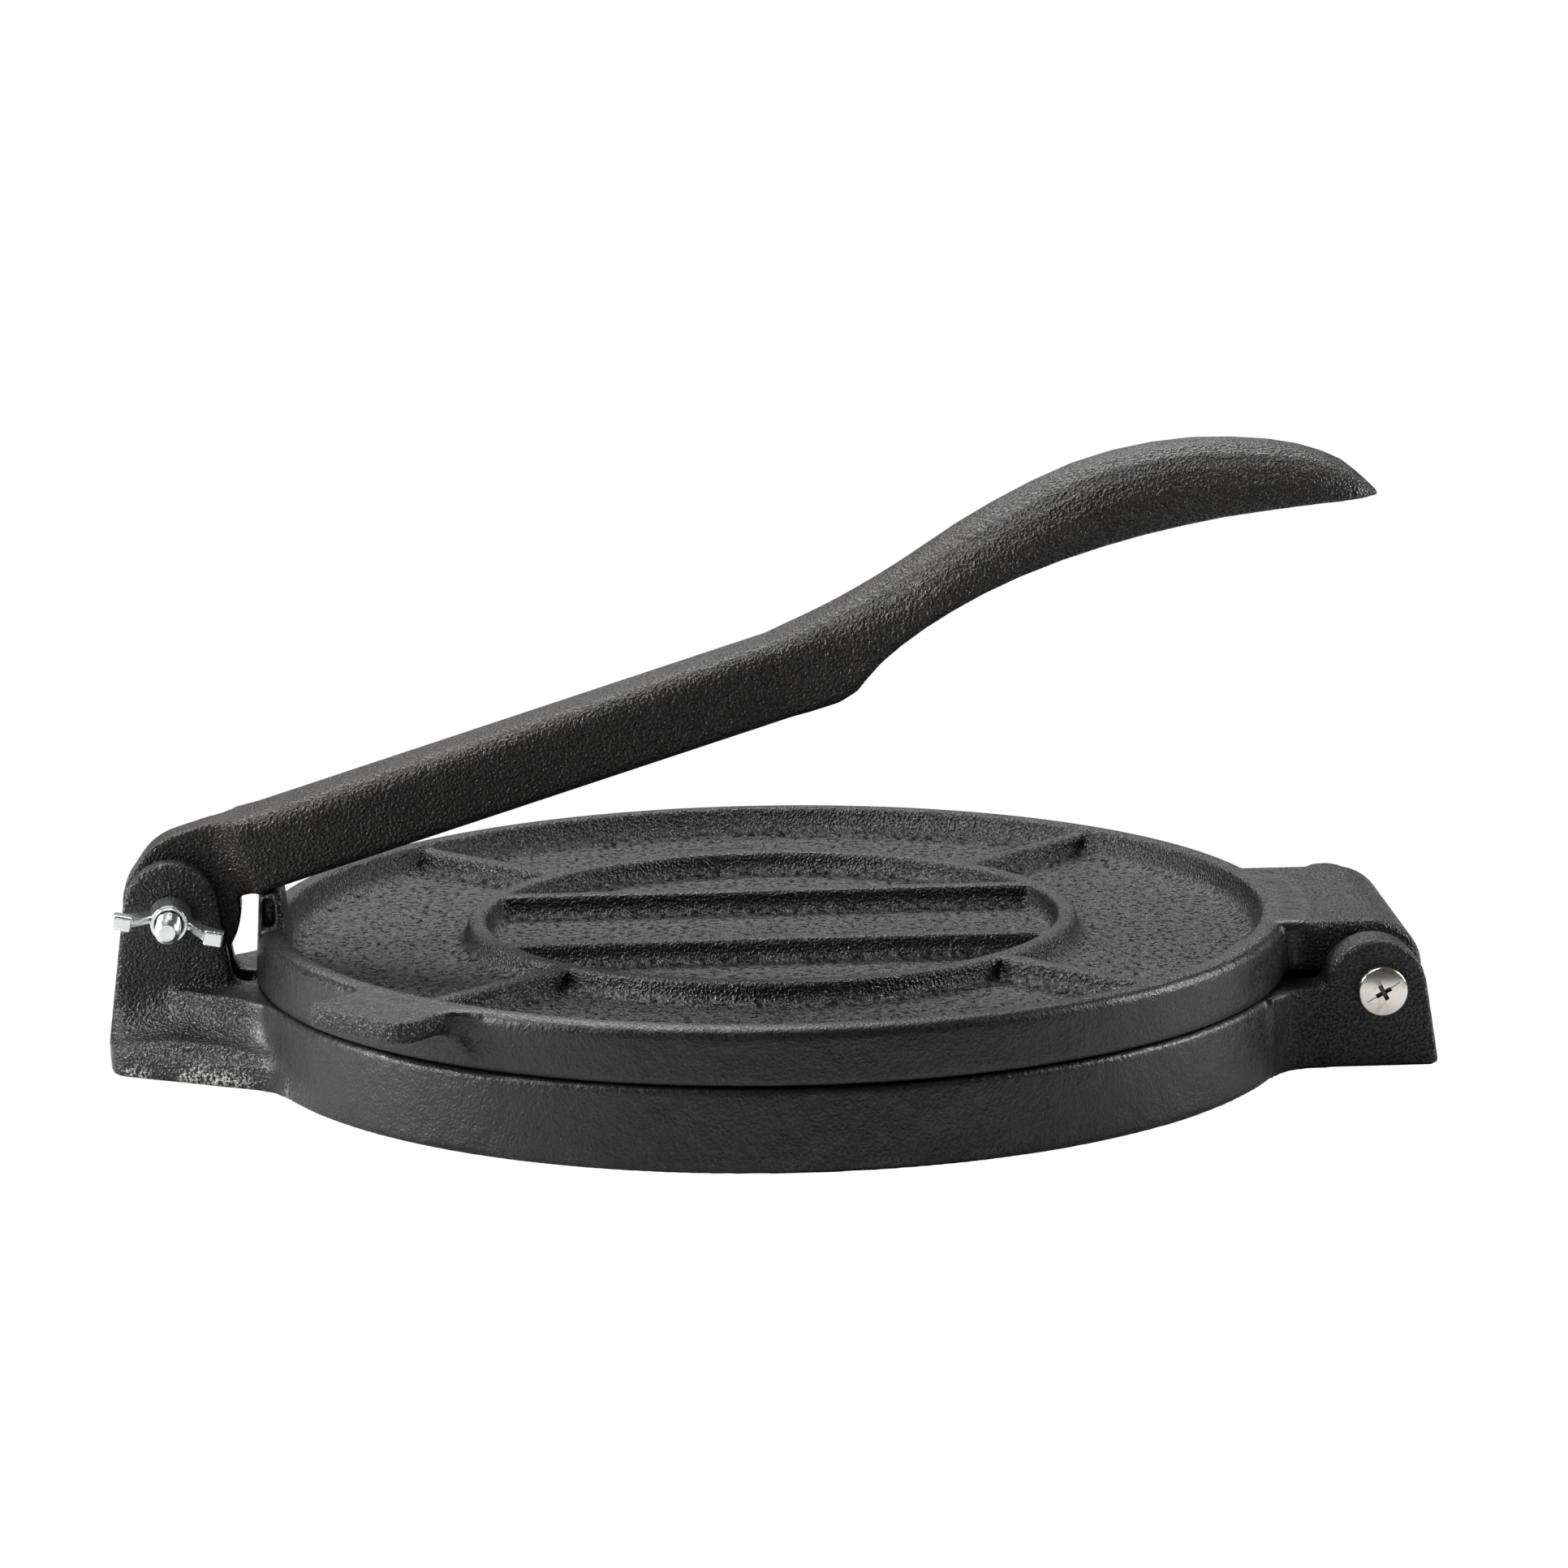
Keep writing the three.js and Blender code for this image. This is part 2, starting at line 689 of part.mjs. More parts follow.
// Pan-headed screw along Z, head down at zero, shank upwards
function screw(length) {
  const profile = rounded([
    [headRadius, 0, 0],
    [headRadius, -headHeight, headDome],
    [0, -headHeight, 0],
  ]);
  const tail = [
    new THREE.Vector2(0, length),
    new THREE.Vector2(shankRadius - boltChamfer, length),
    new THREE.Vector2(shankRadius, length - boltChamfer),
    new THREE.Vector2(shankRadius, 0),
  ];
  return solid(lathe([...profile, ...tail].reverse(), boreSteps));
}

// Wing nut along Z, foot at zero, wings along X
function wingNut() {
  const collar = lathe([
    new THREE.Vector2(boreRadius, 0),
    new THREE.Vector2(nutFootRadius, 0),
    new THREE.Vector2(nutCrownRadius, nutHeight),
    new THREE.Vector2(boreRadius, nutHeight),
  ], boreSteps);
  const reach = wingSpan / 2;
  const high = nutHeight + wingRise - wingWidth / 2;
  const wings = [-1, 1].map((side) => {
    const outline = rounded([
      [side * (boreRadius + smallEdge), wingRoot / 2, 0],
      [side * nutFootRadius, wingRoot / 2, 0],
      [side * (reach - tipEdge), high - tipDepth, wingRoot / 2],
      [side * (reach - tipEdge), high - tipEdge, wingRoot / 2],
      [side * (reach - wingWidth), high - tipEdge, wingRoot / 2],
      [side * (boreRadius + smallEdge), wingRoot * 2, 0],
    ]);
    const tip = rounded([
      [side * (reach - wingWidth), high - tipDepth, wingRoot / 2],
      [side * reach, high - tipDepth, tipEdge],
      [side * reach, high, tipEdge],
      [side * (reach - wingWidth), high, tipEdge],
    ]);
    const web = solid(cheek(outline, -wingThickness / 2, wingThickness / 2));
    return web.add(solid(cheek(tip, -tipThickness / 2, tipThickness / 2, tipEdge / 2)));
  });
  return joined([solid(collar), ...wings]);
}

const castIron = { roughness: 0.55, metalness: 0.75 };
const blackIron = new THREE.MeshStandardMaterial({ color: "#2b2b2c", ...castIron });
const brownIron = new THREE.MeshStandardMaterial({ color: "#2f2c29", ...castIron });
const nickel = new THREE.MeshStandardMaterial({ color: "#b9bbbd", roughness: 0.3, metalness: 1 });
const zinc = new THREE.MeshStandardMaterial({ color: "#a9abab", roughness: 0.42, metalness: 1 });

const hingeFootEnd = Math.max(...hingeEar.map((point) => point.x));
const press = new THREE.Group();
press.name = "tortilla_press";
press.position.x = -(standEndX + hingeFootEnd) / 2;
press.add(piece("base", baseBody, blackIron));

const lid = piece("lid_plate", lidBody, blackIron);
lid.position.z = lidUnder;
press.add(lid);

const lidHinge = new THREE.Group();
lidHinge.position.set(hingeX, 0, hingeZ);
const hingeScrew = piece("lid_hinge_screw", screw(2 * hingeEarOuter + nutHeight + boltTail), nickel);
hingeScrew.position.y = -hingeEarOuter - partGap;
hingeScrew.rotation.x = -Math.PI / 2;
const hingeNut = piece("lid_hinge_nut", wingNut(), zinc);
hingeNut.position.y = hingeEarOuter + partGap;
hingeNut.rotation.set(-Math.PI / 2, 0, radians(wingTurn));
lidHinge.add(hingeScrew, hingeNut);
press.add(lidHinge);

const leverPivot = new THREE.Group();
leverPivot.position.set(pivotX, 0, pivotZ);
const lever = piece("lever", leverBody, brownIron);
lever.rotation.y = -radians(leverSlope);
const leverBolt = piece("lever_bolt", screw(2 * earOuter + nutHeight + boltTail), nickel);
leverBolt.position.y = earOuter + partGap;
leverBolt.rotation.x = Math.PI / 2;
const leverNut = piece("lever_wing_nut", wingNut(), zinc);
leverNut.position.y = -earOuter - partGap;
leverNut.rotation.set(Math.PI / 2, 0, -radians(wingTurn));
leverPivot.add(lever, leverBolt, leverNut);
press.add(leverPivot);

export default press;
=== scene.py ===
import math

import bmesh
import bpy
import numpy as np
from mathutils import Matrix, Vector


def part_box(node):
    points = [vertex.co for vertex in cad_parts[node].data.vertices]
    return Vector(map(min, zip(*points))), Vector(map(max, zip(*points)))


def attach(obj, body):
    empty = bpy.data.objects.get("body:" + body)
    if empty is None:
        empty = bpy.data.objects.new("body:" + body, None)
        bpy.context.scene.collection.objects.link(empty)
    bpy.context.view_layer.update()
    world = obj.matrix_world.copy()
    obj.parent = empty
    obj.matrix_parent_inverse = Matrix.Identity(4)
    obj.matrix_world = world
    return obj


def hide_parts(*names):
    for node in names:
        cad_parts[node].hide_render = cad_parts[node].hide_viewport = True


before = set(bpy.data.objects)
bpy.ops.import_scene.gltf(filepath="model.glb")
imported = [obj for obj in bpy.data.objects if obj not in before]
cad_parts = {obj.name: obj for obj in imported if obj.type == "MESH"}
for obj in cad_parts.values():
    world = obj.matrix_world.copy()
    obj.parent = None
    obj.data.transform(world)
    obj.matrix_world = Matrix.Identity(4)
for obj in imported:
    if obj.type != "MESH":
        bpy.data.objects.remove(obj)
scene = bpy.context.scene
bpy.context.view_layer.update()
mm = 0.001
plateMiddle = 1.9312 * mm  # the round plates' middle along X
lidUnder = 15.9 * mm  # height of the lid's flat underside, closed
print("frame loaded")


def addNode(tree, kind, **settings):
    node = tree.nodes.new(kind)
    for key, value in settings.items():
        if hasattr(node, key):
            setattr(node, key, value)
        else:
            node.inputs[key.replace("_", " ")].default_value = value
    return node


def newMaterial(name):
    material = bpy.data.materials.new(name)
    material.use_nodes = True
    tree = material.node_tree
    tree.nodes.clear()
    return material, tree


# A number node: an operation on its inputs, each a socket or a plain value
def reckon(tree, operation, *terms):
    node = tree.nodes.new("ShaderNodeMath")
    node.operation = operation
    for slot, term in zip(node.inputs, terms):
        if isinstance(term, (int, float)):
            slot.default_value = term
        else:
            tree.links.new(term, slot)
    return node.outputs["Value"]


def ramp(tree, source, low, high, start, end):
    node = tree.nodes.new("ShaderNodeMapRange")
    tree.links.new(source, node.inputs["Value"])
    for key, value in (("From Min", low), ("From Max", high), ("To Min", start), ("To Max", end)):
        node.inputs[key].default_value = value
    return node.outputs["Result"]


def noise(tree, place, scale, detail, roughness):
    node = addNode(tree, "ShaderNodeTexNoise", Scale=scale, Detail=detail, Roughness=roughness)
    tree.links.new(place.outputs["Object"], node.inputs["Vector"])
    return node.outputs["Fac"]


# A bump from one height, laid over another bump where one is given
def bumped(tree, height, strength, depth, under=None):
    node = addNode(tree, "ShaderNodeBump", Strength=strength, Distance=depth)
    tree.links.new(height, node.inputs["Height"])
    if under:
        tree.links.new(under.outputs["Normal"], node.inputs["Normal"])
    return node


# Mixes two colours, the first of them a socket or three numbers
def mixedColour(tree, share, first, second):
    node = addNode(tree, "ShaderNodeMix", data_type="RGBA")
    tree.links.new(share, node.inputs[0])
    if isinstance(first, tuple):
        node.inputs[6].default_value = (*first, 1.0)
    else:
        tree.links.new(first, node.inputs[6])
    node.inputs[7].default_value = (*second, 1.0)
    return node.outputs[2]


# Distance from the axis of the round plates
def reachOnPlates(tree, split):
    fromMiddle = reckon(tree, "SUBTRACT", split.outputs["X"], plateMiddle)
    squares = (reckon(tree, "MULTIPLY", term, term) for term in (fromMiddle, split.outputs["Y"]))
    return reckon(tree, "SQRT", reckon(tree, "ADD", *squares))


# Bare metal near the ground at the left foot, on the peaks of the grain
def wornMetal(tree, place, split, grain, look):
    low = ramp(tree, split.outputs["Z"], look["wearTop"], 0.0, 0.0, 1.0)
    spots = ramp(tree, noise(tree, place, look["wearScale"], 3.0, 0.65), *look["wearSpots"], 0.0, 1.0)
    peaks = ramp(tree, grain, *look["wearPeaks"], 0.0, 1.0)
    side = ramp(tree, split.outputs["X"], *look["wearSide"], 1.0, look["wearBeyond"])
    worn = reckon(tree, "MULTIPLY", reckon(tree, "MULTIPLY", low, spots), peaks)
    return reckon(tree, "MULTIPLY", reckon(tree, "MULTIPLY", worn, side), look["wear"])


# Pock marks on the flat floor of the lid's dish, as a change of sheen
def floorPocks(tree, place, split, reach, look):
    pock = noise(tree, place, look["pockScale"], 1.0, 0.5)
    pits = ramp(tree, pock, *look["pockRange"], -look["pocks"], look["pocks"] / 2)
    offFloor = reckon(tree, "ABSOLUTE", reckon(tree, "SUBTRACT", split.outputs["Z"], look["floorLevel"]))
    inDish = ramp(tree, reach, look["wallInner"][0] - mm, look["wallInner"][0], 1.0, 0.0)
    return pits, reckon(tree, "MULTIPLY", ramp(tree, offFloor, *look["floorFade"], 1.0, 0.0), inDish)


# Cast iron under a black seasoned coat: a sandy grain that catches the light,
# weaker on the plates' outer walls
def castIron(look):
    material, tree = newMaterial(look["name"])
    link = tree.links.new
    output = addNode(tree, "ShaderNodeOutputMaterial")
    shader = addNode(tree, "ShaderNodeBsdfPrincipled", IOR=look["ior"])
    place = addNode(tree, "ShaderNodeTexCoord")
    split = addNode(tree, "ShaderNodeSeparateXYZ")
    link(place.outputs["Object"], split.inputs["Vector"])
    grain = noise(tree, place, look["grainScale"], 1.5, 0.5)
    blotch = noise(tree, place, look["blotchScale"], 4.0, 0.6)
    swell = bumped(tree, blotch, 1.0, look["swellDepth"])
    bump = bumped(tree, grain, 1.0, look["grainDepth"], swell)
    reach = reachOnPlates(tree, split)
    within = ramp(tree, reach, *look["wallInner"], 1.0, look["wallGrain"])
    beyond = ramp(tree, reach, *look["wallOuter"], look["wallGrain"], 1.0)
    rough = reckon(tree, "MAXIMUM", within, beyond)
    link(rough, bump.inputs["Strength"])
    worn = wornMetal(tree, place, split, grain, look)
    coat = mixedColour(tree, blotch, look["dark"], look["light"])
    link(mixedColour(tree, worn, coat, look["bare"]), shader.inputs["Base Color"])
    link(worn, shader.inputs["Metallic"])
    link(ramp(tree, grain, *look["glossRange"], *look["roughness"]), shader.inputs["Roughness"])
    cavity = ramp(tree, grain, *look["cavityRange"], -look["sheenSwing"], look["sheenSwing"])
    pits, onFloor = floorPocks(tree, place, split, reach, look)
    uneven = reckon(tree, "MULTIPLY_ADD", pits, onFloor, cavity)
    sheen = reckon(tree, "MULTIPLY_ADD", uneven, rough, look["sheen"])
    link(sheen, shader.inputs["Specular IOR Level"])
    link(bump.outputs["Normal"], shader.inputs["Normal"])
    link(shader.outputs["BSDF"], output.inputs["Surface"])
    return material


# Plated steel with faint stains; where the face attribute is set, a dark brown with no metal, partly real
# dirt and partly painted shade in the screw recesses
def platedSteel(look):
    material, tree = newMaterial(look["name"])
    link = tree.links.new
    output = addNode(tree, "ShaderNodeOutputMaterial")
    shader = addNode(tree, "ShaderNodeBsdfPrincipled", Roughness=look["roughness"])
    place = addNode(tree, "ShaderNodeTexCoord")
    ripple = noise(tree, place, look["scale"], 2.0, 0.5)
    bump = bumped(tree, ripple, look["strength"], look["depth"])
    link(bump.outputs["Normal"], shader.inputs["Normal"])
    # Recess faces: a dark brown with the metal turned off, partly real dirt and partly painted shade
    grime_and_shade = addNode(tree, "ShaderNodeAttribute", attribute_name="grime_and_shade").outputs["Fac"]
    stain = noise(tree, place, look["stainScale"], 1.0, 0.5)
    spots = ramp(tree, stain, *look["stainRange"], 0.0, look["stain"])
    tint = mixedColour(tree, spots, look["colour"], look["stained"])
    link(mixedColour(tree, grime_and_shade, tint, look["dirt_and_shade"]), shader.inputs["Base Color"])
    link(reckon(tree, "SUBTRACT", 1.0, grime_and_shade), shader.inputs["Metallic"])
    link(shader.outputs["BSDF"], output.inputs["Surface"])
    return material


blackIronLook = {
    "name": "black iron", "ior": 1.5,
    "grainScale": 1700.0, "grainDepth": 0.62 * mm, "blotchScale": 120.0, "swellDepth": 0.5 * mm,
    "dark": (0.006, 0.006, 0.0064), "light": (0.012, 0.012, 0.0126), "bare": (0.66, 0.65, 0.62),
    "glossRange": (0.35, 0.65), "roughness": (0.52, 0.28),
    "cavityRange": (0.38, 0.6), "sheen": 0.5, "sheenSwing": 0.17,
    "pockScale": 760.0, "pockRange": (0.36, 0.56), "pocks": 0.46,
    "floorLevel": lidUnder + 5.4 * mm, "floorFade": (0.4 * mm, 1.6 * mm),
    "wallInner": (97.0 * mm, 100.5 * mm), "wallOuter": (103.5 * mm, 106.0 * mm), "wallGrain": 0.2,
    "wear": 0.8, "wearTop": 5.6 * mm, "wearScale": 90.0, "wearSpots": (0.43, 0.55),
    "wearPeaks": (0.46, 0.56), "wearSide": (-100.0 * mm, -88.0 * mm), "wearBeyond": 0.04,
}
leverIronLook = {
    **blackIronLook,
    "name": "lever iron", "grainScale": 1650.0, "grainDepth": 0.55 * mm, "blotchScale": 110.0,
    "dark": (0.009, 0.0074, 0.0066), "light": (0.017, 0.0145, 0.013),
    "roughness": (0.54, 0.3), "sheenSwing": 0.14, "pocks": 0.0, "wallGrain": 1.0, "wear": 0.0,
}
# Each plating's dark brown for the screw recesses is partly real dirt and partly painted shade
nickelLook = {
    "name": "nickel", "colour": (0.78, 0.74, 0.69), "roughness": 0.22, "dirt_and_shade": (0.03, 0.02, 0.012),
    "scale": 700.0, "strength": 0.08, "depth": 0.1 * mm,
    "stainScale": 620.0, "stainRange": (0.6, 0.66), "stain": 0.35, "stained": (0.5, 0.36, 0.22),
}
zincLook = {
    "name": "zinc", "colour": (0.76, 0.78, 0.78), "roughness": 0.26, "dirt_and_shade": (0.03, 0.02, 0.012),
    "scale": 700.0, "strength": 0.25, "depth": 0.3 * mm,
    "stainScale": 500.0, "stainRange": (0.6, 0.66), "stain": 0.3, "stained": (0.42, 0.42, 0.4),
}
blackIron = castIron(blackIronLook)
leverIron = castIron(leverIronLook)
nickel = platedSteel(nickelLook)
zinc = platedSteel(zincLook)
print("materials made")


# An object in the scene from a finished bmesh
def shaped(form, name):
    mesh = bpy.data.meshes.new(name)
    form.to_mesh(mesh)
    form.free()
    obj = bpy.data.objects.new(name, mesh)
    scene.collection.objects.link(obj)
    return obj


# The object's modifiers applied to its mesh
def settled(obj, name):
    graph = bpy.context.evaluated_depsgraph_get()
    mesh = bpy.data.meshes.new_from_object(obj.evaluated_get(graph), depsgraph=graph)
    mesh.name = name
    obj.modifiers.clear()
    obj.data = mesh
    return mesh


def carved(obj, name, cut):
    carve = obj.modifiers.new("carve", "BOOLEAN")
    carve.operation = "DIFFERENCE"
    carve.object = cut
    settled(obj, name)
    bpy.data.objects.remove(cut)


# The finished piece in the place of its CAD node, on the body that carries it
def placed(obj, piece):
    mesh = obj.data
    mesh.materials.clear()
    mesh.materials.append(piece["material"])
    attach(obj, piece["body"])
    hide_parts(piece["node"])
    print(piece["name"], "made,", len(mesh.polygons), "faces")


def points(mesh):
    co = np.empty(len(mesh.vertices) * 3, np.float32)
    mesh.vertices.foreach_get("co", co)
    return co.reshape(-1, 3)


# Flat steps of the turned forms pushed out onto true circles, fully between the two middle reaches
def roundedOut(co, facets):
    co[:, 0] -= plateMiddle
    reach = np.hypot(co[:, 0], co[:, 1])
    angle = np.arctan2(co[:, 1], co[:, 0])
    factor = np.ones(len(co))
    for steps, inner, innerEnd, outer, outerEnd in facets:
        half = math.pi / steps
        local = np.mod(angle, 2 * half) - half
        stretch = np.cos(local) / math.cos(half)
        rise = np.clip((reach - inner) / (innerEnd - inner), 0, 1)
        fall = np.clip((outerEnd - reach) / (outerEnd - outer), 0, 1)
        factor += (stretch - 1) * np.minimum(rise, fall)
    co[:, 0] *= factor
    co[:, 1] *= factor
    co[:, 0] += plateMiddle


# The joins on the outer wall, away from its top and bottom edges, are drawn out further
def drawnOut(obj, wall):
    co = points(obj.data)
    reach = np.hypot(co[:, 0] - plateMiddle, co[:, 1])
    depth = np.minimum(co[:, 2] - wall["low"], wall["high"] - co[:, 2])
    onWall = (np.abs(reach - wall["radius"]) < wall["margin"]) & (depth > 0)
    group = obj.vertex_groups.new(name="wall")
    group.add(np.flatnonzero(onWall & (depth < wall["fade"])).tolist(), 0.5, "REPLACE")
    group.add(np.flatnonzero(onWall & (depth >= wall["fade"])).tolist(), 1.0, "REPLACE")
    draw = obj.modifiers.new("draw", "SMOOTH")
    draw.factor = 0.5
    draw.iterations = wall["passes"]
    draw.vertex_group = "wall"


# A small pocket with square corners, from its low and high corner
def pocketCutter(low, high):
    form = bmesh.new()
    size = [high[axis] - low[axis] for axis in range(3)]
    middle = [(high[axis] + low[axis]) / 2 for axis in range(3)]
    bmesh.ops.create_cube(form, size=1.0, matrix=Matrix.Translation(middle) @ Matrix.Diagonal((*size, 1.0)))
    return shaped(form, "pocket")


# A casting from a CAD node's form, its sharp edges and joins softened as sand casting leaves them
def casting(cast):
    form = bmesh.new()
    form.from_mesh(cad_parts[cast["node"]].data)
    bmesh.ops.remove_doubles(form, verts=form.verts, dist=0.001 * mm)
    obj = shaped(form, cast["name"])
    for low, high in cast.get("pockets", []):
        carved(obj, cast["name"], pocketCutter(low, high))
    skin = obj.modifiers.new("skin", "REMESH")
    skin.mode = "VOXEL"
    skin.voxel_size = cast["voxel"]
    mesh = settled(obj, cast["name"])
    co = points(mesh)
    roundedOut(co, cast.get("facets", []))
    mesh.vertices.foreach_set("co", co.ravel())
    soften = obj.modifiers.new("soften", "SMOOTH")
    soften.factor = 0.5
    soften.iterations = cast["softening"]
    if "wall" in cast:
        drawnOut(obj, cast["wall"])
    thin = obj.modifiers.new("thin", "DECIMATE")
    thin.ratio = min(1.0, cast["triangles"] / (2 * len(mesh.polygons)))
    mesh = settled(obj, cast["name"])
    mesh.vertices.foreach_set("co", np.clip(points(mesh), *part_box(cast["node"])).ravel())
    mesh.polygons.foreach_set("use_smooth", np.ones(len(mesh.polygons), bool))
    placed(obj, cast)


# Sides of the turned forms with their reaches: the walls, then the ring
plateFacets = [
    (60, 66 * mm, 90 * mm, 103.5 * mm, 108 * mm),
    (48, 40 * mm, 50 * mm, 66 * mm, 90 * mm),
]
baseCast = {
    "name": "base_casting", "node": "base", "body": "stand", "slot": "black_iron",
    "voxel": 0.6 * mm, "softening": 4, "triangles": 195000, "facets": plateFacets,
    "wall": {
        "radius": 102.9 * mm, "margin": 2.2 * mm, "fade": 0.8 * mm, "passes": 24,
        "low": 1.6 * mm, "high": lidUnder - 1.3 * mm,
    },
    "material": blackIron,
}
lidCast = {
    "name": "lid_casting", "node": "lid_plate", "body": "lid", "slot": "black_iron",
    "voxel": 0.55 * mm, "softening": 4, "triangles": 195000, "facets": plateFacets,
    "wall": {
        "radius": 101.4 * mm, "margin": 2.2 * mm, "fade": 0.8 * mm, "passes": 24,
        "low": lidUnder + 1.5 * mm, "high": lidUnder + 8.7 * mm,
    },
    # the hollow in the front of the pad under the lever
    "pockets": [(
        (-97.9 * mm, -12.0 * mm, lidUnder + 11.5 * mm),
        (-95.4 * mm, -7.8 * mm, lidUnder + 16.9 * mm),
    )],
    "material": blackIron,
}
leverCast = {
    "name": "lever_casting", "node": "lever", "body": "lever", "slot": "lever_iron",
    "voxel": 0.45 * mm, "softening": 8, "triangles": 150000, "material": leverIron,
}
for cast in (baseCast, lidCast, leverCast):
    casting(cast)

# Wing nuts, pressed smooth and zinc plated
wingNutCast = {
    "body": "stand", "slot": "zinc", "material": zinc,
    "voxel": 0.16 * mm, "softening": 5, "triangles": 60000,
}
for node in ("lid_hinge_nut", "lever_wing_nut"):
    casting({**wingNutCast, "name": node + "_pressed", "node": node})


# Outline of a pan-headed screw as [along, radius], head end first
def screwOutline(bar, headRadius, length):
    shank, crown = bar["shank"], bar["crown"]
    outline = [(0.0, headRadius * 0.3), (crown * 0.4, headRadius * 0.6)]
    flat = headRadius - bar["dome"]
    arcSteps = 6
    for step in range(arcSteps + 1):
        turn = math.pi / 2 * step / arcSteps
        rise = (bar["head"] * 0.8 - crown) * (1 - math.cos(turn))
        outline.append((crown + rise, flat + bar["dome"] * math.sin(turn)))
    outline += [(bar["head"], headRadius), (bar["head"], shank), (length - bar["threaded"], shank)]
    along = length - bar["threaded"] + bar["pitch"] / 8
    while along < length - bar["chamfer"]:
        outline.append((along, shank))
        along += bar["pitch"] / 8
    tip = shank - bar["chamfer"]
    outline += [(length - bar["chamfer"], shank), (length - bar["tipEdge"], tip)]
    outline.append((length, tip - 1.5 * bar["tipEdge"]))
    return outline


# How deep the thread is cut at a place along the screw and round it, as a share of its depth
def threadShare(bar, length, along, turned):
    if along > length - bar["chamfer"] / 2:
        return 0.0
    fade = min(max((along - length + bar["threaded"]) / bar["pitch"], 0.0), 1.0)
    return fade * abs(2 * ((along / bar["pitch"] - turned) % 1.0) - 1)


# A tapered box that cuts a slot or one arm of a cross into a head facing the viewer
def recessCutter(cut):
    form = bmesh.new()
    bmesh.ops.create_cube(form, size=1.0)
    for vertex in form.verts:
        inner = vertex.co.y > 0
        vertex.co.x *= cut["wide"] * (0.75 if inner else 1.0)
        vertex.co.z *= cut["high"] * (0.5 if inner else 1.0)
        vertex.co.y = cut["deep"] if inner else -cut["deep"]
    turn = Matrix.Rotation(-math.radians(cut["lean"]), 3, "Y")
    bmesh.ops.rotate(form, verts=form.verts, matrix=turn)
    return shaped(form, "recess")


# A turned and threaded screw along Y in the place of a CAD node
def threadedScrew(bar):
    low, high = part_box(bar["node"])
    middle = (low + high) / 2
    headY, tailY = (low.y, high.y) if bar["headLow"] else (high.y, low.y)
    course = math.copysign(1.0, tailY - headY)
    length = abs(tailY - headY)
    form = bmesh.new()
    outline = screwOutline(bar, (high.x - low.x) / 2, length)
    corners = []
    for along, radius in outline:
        corners.append(form.verts.new((middle.x, headY + course * along, middle.z + radius)))
    edges = [form.edges.new(pair) for pair in zip(corners, corners[1:])]
    bmesh.ops.spin(
        form, geom=corners + edges, cent=middle, axis=(0, 1, 0),
        angle=2 * math.pi, steps=bar["steps"], use_merge=True,
    )
    bmesh.ops.holes_fill(form, edges=form.edges, sides=0)
    for vertex in form.verts:
        x, z = vertex.co.x - middle.x, vertex.co.z - middle.z
        along = course * (vertex.co.y - headY)
        share = threadShare(bar, length, along, math.atan2(x, z) / (2 * math.pi))
        keep = 1 - share * bar["threadDepth"] / math.hypot(x, z)
        vertex.co.x, vertex.co.z = middle.x + x * keep, middle.z + z * keep
    bmesh.ops.recalc_face_normals(form, faces=form.faces)
    obj = shaped(form, bar["name"])
    facing = Matrix.Rotation(0.0 if course > 0 else math.pi, 4, "Z")
    for recess in bar["recesses"]:
        cut = recessCutter(recess)
        cut.data.transform(Matrix.Translation((middle.x, headY, middle.z)) @ facing)
        carved(obj, bar["name"], cut)
    mesh = obj.data
    # Recess faces are marked for a dark brown that is partly real dirt and partly painted shade
    grime_and_shade = mesh.attributes.new("grime_and_shade", "FLOAT", "FACE")
    for face, mark in zip(mesh.polygons, grime_and_shade.data):
        deep = course * (face.center.y - headY)
        wide = math.hypot(face.center.x - middle.x, face.center.z - middle.z)
        inRecess = bar["crown"] < deep < bar["head"] * 0.9 and wide < bar["head"]
        mark.value = bar["grime_and_shade"] if inRecess else 0.0
    mesh.polygons.foreach_set("use_smooth", np.ones(len(mesh.polygons), bool))
    mesh.set_sharp_from_angle(angle=math.radians(28))
    placed(obj, bar)


# A cross recess with a saw slot through it
def crossAndSlot(crossLean, slotLean):
    arm = {"wide": 3.7 * mm, "high": 1.15 * mm, "deep": 1.3 * mm}
    slot = {"wide": 9.2 * mm, "high": 0.34 * mm, "deep": 0.62 * mm}
    return [{**arm, "lean": crossLean}, {**arm, "lean": crossLean + 90}, {**slot, "lean": slotLean}]


# The recess share darkens the screw recesses: partly real dirt, partly painted shade
screw = {
    "body": "stand", "slot": "nickel", "steps": 48, "grime_and_shade": 0.92,
    "head": 1.9 * mm, "dome": 0.5 * mm, "crown": 0.45 * mm, "shank": 2.5 * mm,
    "pitch": 0.8 * mm, "threadDepth": 0.45 * mm, "chamfer": 0.8 * mm, "tipEdge": 0.1 * mm,
}
hingeScrew = {
    **screw,
    "name": "hinge_screw_turned", "node": "lid_hinge_screw", "material": nickel,
    "headLow": True, "threaded": 16.0 * mm, "recesses": crossAndSlot(28, 31),
}
leverBolt = {
    **screw,
    "name": "lever_bolt_turned", "node": "lever_bolt", "material": zinc,
    "headLow": False, "threaded": 18.0 * mm, "recesses": crossAndSlot(12, 12),
}
for bar in (hingeScrew, leverBolt):
    threadedScrew(bar)


# A surface or world that is plain white to the camera and what is given to everything else
def whiteToCamera(tree, output, seen, lit):
    ray = addNode(tree, "ShaderNodeLightPath")
    mix = addNode(tree, "ShaderNodeMixShader")
    tree.links.new(ray.outputs["Is Camera Ray"], mix.inputs["Fac"])
    tree.links.new(lit.outputs[0], mix.inputs[1])
    tree.links.new(seen.outputs[0], mix.inputs[2])
    tree.links.new(mix.outputs["Shader"], output.inputs["Surface"])


